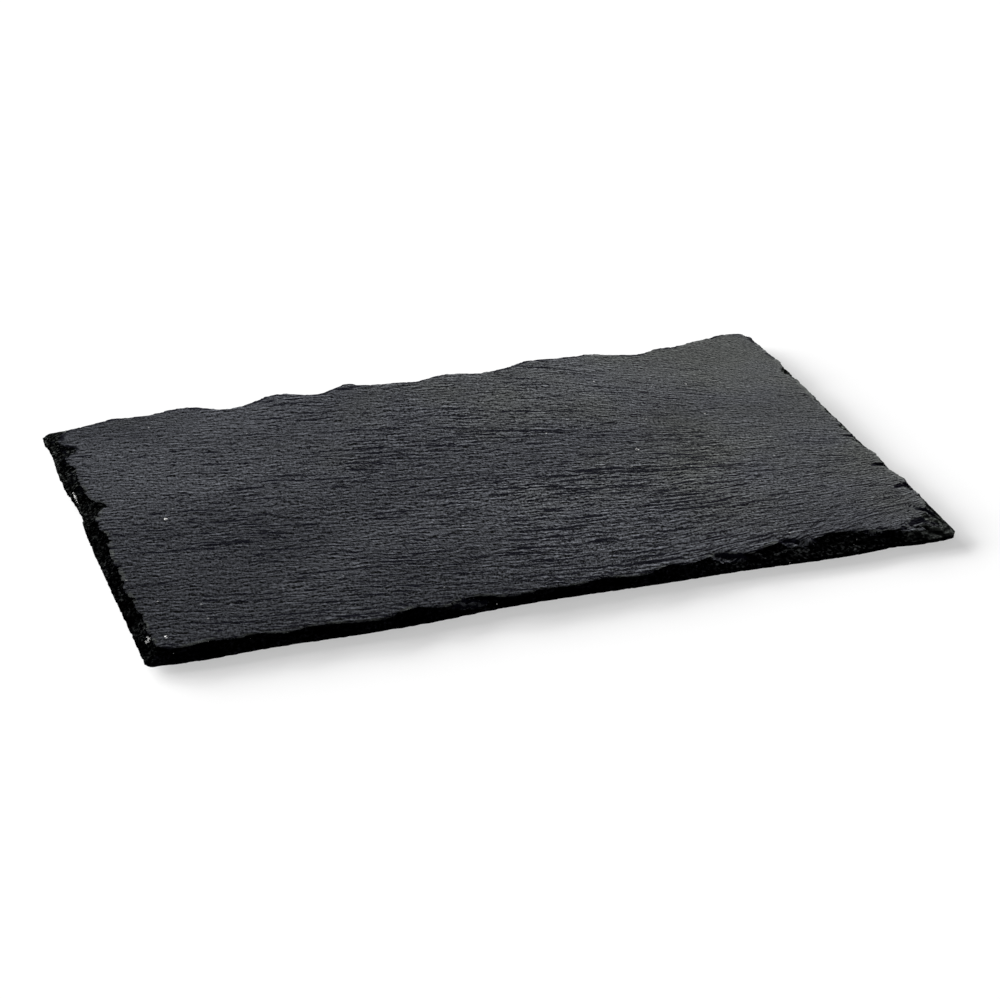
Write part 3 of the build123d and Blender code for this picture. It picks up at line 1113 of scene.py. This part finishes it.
def add_lamp(name, kind, place, aim, **settings):
    """A lamp that faces a point."""
    lamp = bpy.data.lights.new(name, kind)
    for setting, value in settings.items():
        setattr(lamp, setting, value)
    light = bpy.data.objects.new(name, lamp)
    light.location = place
    light.rotation_euler = (Vector(aim) - Vector(place)).to_track_quat("-Z", "Y").to_euler()
    bpy.context.scene.collection.objects.link(light)
    return light


def link_light(light, piece, state):
    """Lets a lamp light one object alone (INCLUDE), or all but that one (EXCLUDE)."""
    linked = bpy.data.collections.new(f"lit_by_{light.name}")
    linked.objects.link(piece)
    linked.collection_objects[0].light_linking.link_state = state
    light.light_linking.receiver_collection = linked


def towards(azimuth, elevation):
    """Unit vector to a direction: its azimuth from +Y towards +X, and its height above the floor."""
    level = math.cos(elevation)
    return Vector((math.sin(azimuth) * level, math.cos(azimuth) * level, math.sin(elevation)))


def photo_camera():
    """The photograph's camera: it looks at its aim from an azimuth, an elevation and a distance, slightly rolled."""
    azimuth, elevation, roll = (math.radians(a) for a in (CAMERA_AZIMUTH, CAMERA_ELEVATION, CAMERA_ROLL))
    back = towards(math.pi - azimuth, elevation)
    right = Vector((0, 0, 1)).cross(back).normalized()
    up = back.cross(right)
    rolled_right = right * math.cos(roll) + up * math.sin(roll)
    rolled_up = up * math.cos(roll) - right * math.sin(roll)
    data = bpy.data.cameras.new("photo_camera")
    data.sensor_width, data.lens = SENSOR_WIDTH, LENS
    data.clip_start = 10 * MM
    camera = bpy.data.objects.new("photo_camera", data)
    turned = Matrix((rolled_right, rolled_up, back)).transposed()
    camera.matrix_world = Matrix.Translation(CAMERA_AIM + back * CAMERA_DISTANCE) @ turned.to_4x4()
    bpy.context.scene.collection.objects.link(camera)
    return camera


class SLATE_BOARD_OT_stage(Operator):
    """Set the floor, the lamps and the camera"""

    bl_idname = "slate_board.stage"
    bl_label = "Studio stage"

    def execute(self, context):
        look = context.scene.slate_stage
        scene = context.scene
        half = look.floor_size / 2
        corners = [(-half, -half, 0), (half, -half, 0), (half, half, 0), (-half, half, 0)]
        mesh = bpy.data.meshes.new("floor")
        mesh.from_pydata(corners, [], [(0, 1, 2, 3)])
        mesh.materials.append(floor_material(look))
        floor = bpy.data.objects.new("floor", mesh)
        scene.collection.objects.link(floor)
        scene.world = studio_sky(look)
        for number, turn in enumerate(FLOOR_LIGHT_TURNS, 1):
            direction = towards(look.floor_light_azimuth + math.radians(turn), look.floor_light_elevation)
            floor_light = add_lamp(
                f"floor_light_{number}", "SUN", direction, (0, 0, 0),
                energy=look.floor_light_strength / len(FLOOR_LIGHT_TURNS), angle=look.floor_light_spread,
            )
            link_light(floor_light, floor, "INCLUDE")
        for name, power, box in (("key_box", look.key_power, KEY_BOX), ("fill_box", look.fill_power, FILL_BOX)):
            place, aim, width, height = box
            soft_box = add_lamp(
                name, "AREA", place, aim, energy=power, shape="RECTANGLE", size=width, size_y=height
            )
            link_light(soft_box, floor, "EXCLUDE")
        scene.camera = photo_camera()
        scene.view_settings.view_transform = "Standard"
        return {"FINISHED"}


class SLATE_BOARD_PT_sidebar(Panel):
    bl_idname = "SLATE_BOARD_PT_sidebar"
    bl_label = "Slate Board"
    bl_space_type = "VIEW_3D"
    bl_region_type = "UI"
    bl_category = "Slate Board"

    def draw(self, context):
        for operator, name, _ in PIECES:
            box = self.layout.box()
            box.operator(operator.bl_idname)
            look = getattr(context.scene, name)
            for setting in look.__annotations__:
                box.prop(look, setting)


PIECES = (
    (SLATE_BOARD_OT_slab, "slate_slab", SlabProperties),
    (SLATE_BOARD_OT_feet, "slate_feet", FeetProperties),
    (SLATE_BOARD_OT_stage, "slate_stage", StageProperties),
)
OPERATORS, NAMES, GROUPS = zip(*PIECES)
CLASSES = (*GROUPS, *OPERATORS, SLATE_BOARD_PT_sidebar)


def register():
    for cls in CLASSES:
        bpy.utils.register_class(cls)
    for name, group in zip(NAMES, GROUPS):
        setattr(bpy.types.Scene, name, PointerProperty(type=group))


def unregister():
    for name in NAMES:
        delattr(bpy.types.Scene, name)
    for cls in reversed(CLASSES):
        bpy.utils.unregister_class(cls)


def main():
    register()
    bpy.ops.slate_board.slab()
    bpy.ops.slate_board.feet()
    bpy.ops.slate_board.stage()


if __name__ == "__main__":
    main()
